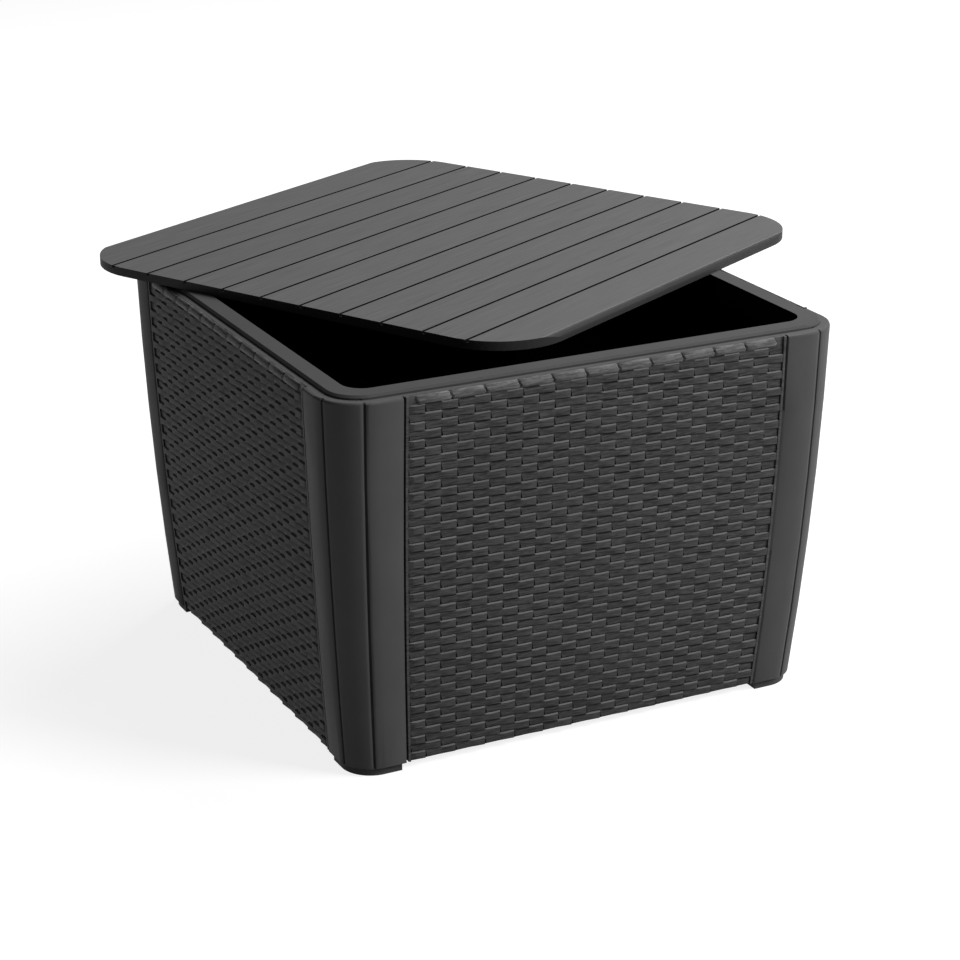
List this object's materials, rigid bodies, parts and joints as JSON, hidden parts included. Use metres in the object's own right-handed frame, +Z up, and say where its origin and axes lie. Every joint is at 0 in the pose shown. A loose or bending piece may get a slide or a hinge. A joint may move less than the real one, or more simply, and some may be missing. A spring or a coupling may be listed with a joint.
{
  "type": "storage table",
  "caption": "Square resin storage table with woven-look tapered walls, rounded corner posts, a raised rim round an open storage box, small feet and a loose slatted lid lying turned on the rim.",
  "frame": {"origin": "on the ground, at the middle of the box between its feet", "axes": "+X to the right along the front wall, +Y from the front wall to the back wall, +Z up"},
  "size_m": [0.7364, 0.8051, 0.4095],
  "materials": {
    "panel_resin": "moulded woven relief, satin",
    "post_resin": "smooth moulded, satin",
    "rim_resin": "smooth moulded, satin",
    "lid_resin": "slatted with a fine moulded grain, satin",
    "floor_resin": "plain moulded, matt",
    "foot_resin": "plain moulded, matt",
    "screw_steel": "zinc plated"
  },
  "bodies": {
    "box": {"floor_panel": "floor_resin", "front_panel": "panel_resin", "back_panel": "panel_resin", "left_panel": "panel_resin", "right_panel": "panel_resin", "post_front_left": "post_resin", "post_front_right": "post_resin", "post_back_left": "post_resin", "post_back_right": "post_resin", "rim_frame": "rim_resin", "foot_front_left": "foot_resin", "foot_front_right": "foot_resin", "foot_back_left": "foot_resin", "foot_back_right": "foot_resin", "rim_screws": "screw_steel", "foot_screws": "screw_steel"},
    "lid": {"lid_deck": "lid_resin"}
  },
  "joints": [
    {"name": "lid_lift", "type": "slide", "parent": "box", "child": "lid", "axis": [0, 0, 1], "range_m": [0, 0.3]}
  ]
}
